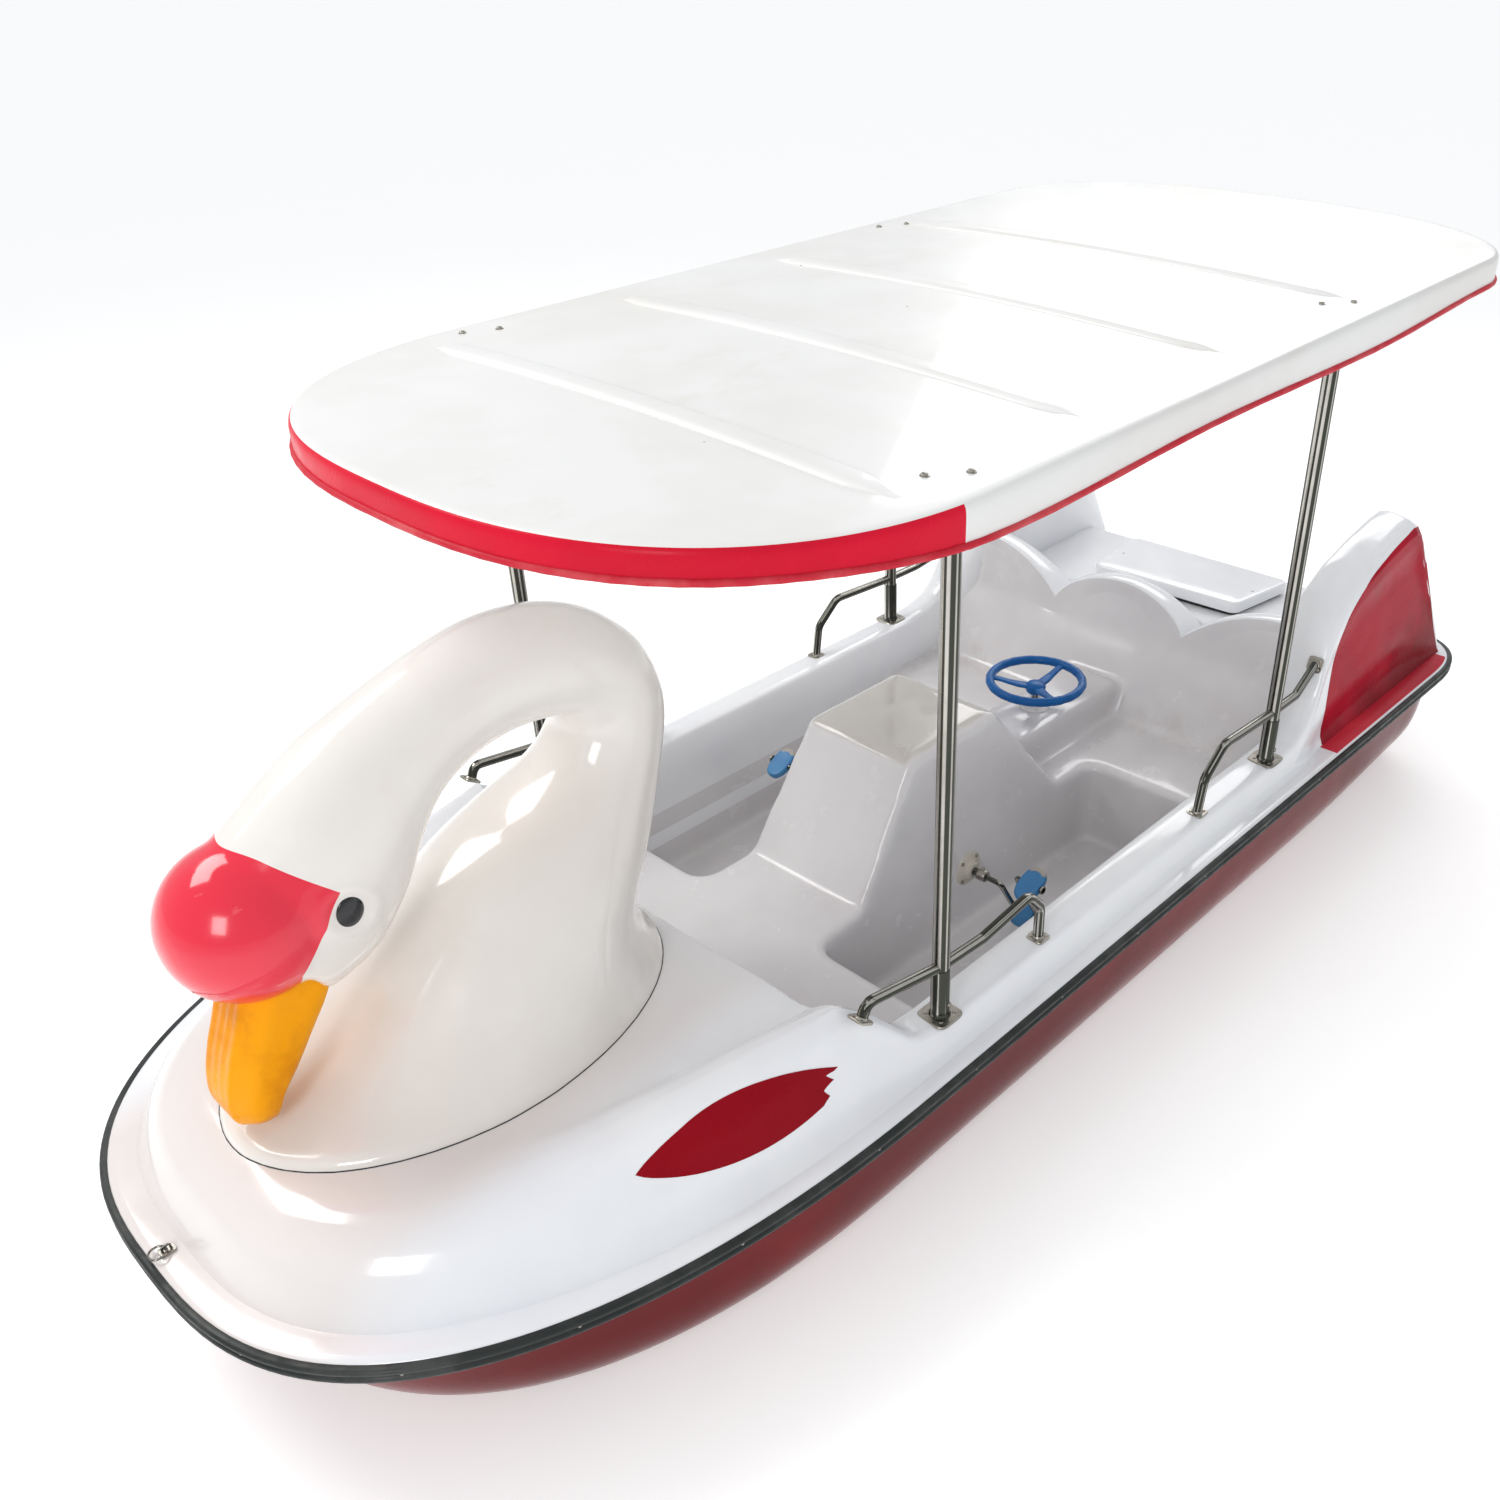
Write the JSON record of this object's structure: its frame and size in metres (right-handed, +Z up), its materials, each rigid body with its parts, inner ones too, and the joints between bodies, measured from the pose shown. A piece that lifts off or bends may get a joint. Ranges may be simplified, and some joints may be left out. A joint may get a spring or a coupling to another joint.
{
  "type": "pedal boat",
  "caption": "Swan-shaped pedal boat with facing footwells, a paddle wheel driven by pedals, a canopy on poles and a hand-steered rudder.",
  "frame": {"origin": "centre of the bounding box in plan, on the plane under the flat bottom of the hull", "axes": "+X to port, +Y to the stern, +Z up; the bow and the swan's head point along -Y"},
  "size_m": [1.6212, 4.1412, 1.7544],
  "materials": {
    "white_gelcoat": "glossy gelcoat on glass fibre",
    "liner_gelcoat": "glossy gelcoat on glass fibre",
    "red_gelcoat": "glossy dark red gelcoat on glass fibre",
    "beak_paint": "satin yellow-orange paint",
    "black_rubber": "ribbed rubber",
    "red_trim": "soft red piping",
    "stainless_steel": "polished stainless tube",
    "galvanised_steel": "galvanised",
    "blue_plastic": "moulded blue plastic",
    "bearing_nylon": "off-white nylon",
    "eye_black": "glossy black"
  },
  "bodies": {
    "boat": {"canopy_edge_trim": "red_trim", "canopy_pole_front_port": "stainless_steel", "canopy_pole_front_starboard": "stainless_steel", "canopy_pole_rear_port": "stainless_steel", "canopy_pole_rear_starboard": "stainless_steel", "canopy_roof": "white_gelcoat", "crank_bearing_port": "bearing_nylon", "crank_bearing_starboard": "bearing_nylon", "footwell_floor_port": "liner_gelcoat", "footwell_floor_starboard": "liner_gelcoat", "foredeck": "white_gelcoat", "front_backrest": "liner_gelcoat", "front_bench": "liner_gelcoat", "front_rail_aft_port": "stainless_steel", "front_rail_aft_starboard": "stainless_steel", "front_rail_fore_port": "stainless_steel", "front_rail_fore_starboard": "stainless_steel", "hatch_cover": "white_gelcoat", "hatch_screw_port": "stainless_steel", "hatch_screw_starboard": "stainless_steel", "helm_pedestal": "liner_gelcoat", "hull_shell": "red_gelcoat", "paddle_box": "liner_gelcoat", "rear_backrest": "white_gelcoat", "rear_bench": "liner_gelcoat", "rear_deck": "white_gelcoat", "rear_rail_aft_port": "stainless_steel", "rear_rail_aft_starboard": "stainless_steel", "rear_rail_fore_port": "stainless_steel", "rear_rail_fore_starboard": "stainless_steel", "rub_rail": "black_rubber", "rudder_tube": "bearing_nylon", "side_deck_port": "white_gelcoat", "side_deck_starboard": "white_gelcoat", "steering_column": "bearing_nylon", "swan_beak": "beak_paint", "swan_eye_port": "eye_black", "swan_eye_starboard": "eye_black", "swan_figure": "white_gelcoat", "tail_wing_port": "white_gelcoat", "tail_wing_starboard": "white_gelcoat", "tow_pad_eye": "stainless_steel"},
    "crankset": {"paddle_axle": "stainless_steel", "crank_port": "stainless_steel", "crank_starboard": "stainless_steel", "paddle_wheel": "galvanised_steel"},
    "pedal_inner_port": {"pedal_inner_port": "blue_plastic"},
    "pedal_outer_port": {"pedal_outer_port": "blue_plastic"},
    "pedal_inner_starboard": {"pedal_inner_starboard": "blue_plastic"},
    "pedal_outer_starboard": {"pedal_outer_starboard": "blue_plastic"},
    "helm": {"steering_wheel": "blue_plastic", "steering_shaft": "stainless_steel", "steering_arm": "galvanised_steel"},
    "link_rod": {"link_rod": "stainless_steel"},
    "rudder": {"rudder": "galvanised_steel", "tiller_arm": "galvanised_steel"},
    "tow_ring": {"tow_ring": "stainless_steel"}
  },
  "joints": [
    {"name": "crank_spin", "type": "hinge", "parent": "boat", "child": "crankset", "pos_m": [0, 0.098, 0.231], "axis": [1, 0, 0], "continuous": true},
    {"name": "pedal_inner_port_spin", "type": "hinge", "parent": "crankset", "child": "pedal_inner_port", "pos_m": [0.371, 0.15723, 0.13243], "axis": [1, 0, 0], "continuous": true},
    {"name": "pedal_outer_port_spin", "type": "hinge", "parent": "crankset", "child": "pedal_outer_port", "pos_m": [0.463, 0.03877, 0.32957], "axis": [1, 0, 0], "continuous": true},
    {"name": "pedal_inner_starboard_spin", "type": "hinge", "parent": "crankset", "child": "pedal_inner_starboard", "pos_m": [-0.371, 0.15723, 0.13243], "axis": [1, 0, 0], "continuous": true},
    {"name": "pedal_outer_starboard_spin", "type": "hinge", "parent": "crankset", "child": "pedal_outer_starboard", "pos_m": [-0.463, 0.03877, 0.32957], "axis": [1, 0, 0], "continuous": true},
    {"name": "helm_turn", "type": "hinge", "parent": "boat", "child": "helm", "pos_m": [0, 0.6755, 0.5208], "axis": [0, 0, 1], "range_deg": [-45, 45]},
    {"name": "link_swing", "type": "hinge", "parent": "helm", "child": "link_rod", "pos_m": [0.11, 0.6755, 0.264], "axis": [0, 0, 1], "range_deg": [-45, 45]},
    {"name": "rudder_turn", "type": "hinge", "parent": "boat", "child": "rudder", "pos_m": [0, 1.771, 0.252], "axis": [0, 0, 1], "range_deg": [-45, 45]},
    {"name": "tow_ring_swing", "type": "hinge", "parent": "boat", "child": "tow_ring", "pos_m": [0, -2.0251, 0.3997], "axis": [1, 0, 0], "range_deg": [-120, 0]}
  ],
  "couplings": [
    {"joint": "rudder_turn", "follows": "helm_turn", "ratio": 1},
    {"joint": "link_swing", "follows": "helm_turn", "ratio": -1}
  ]
}
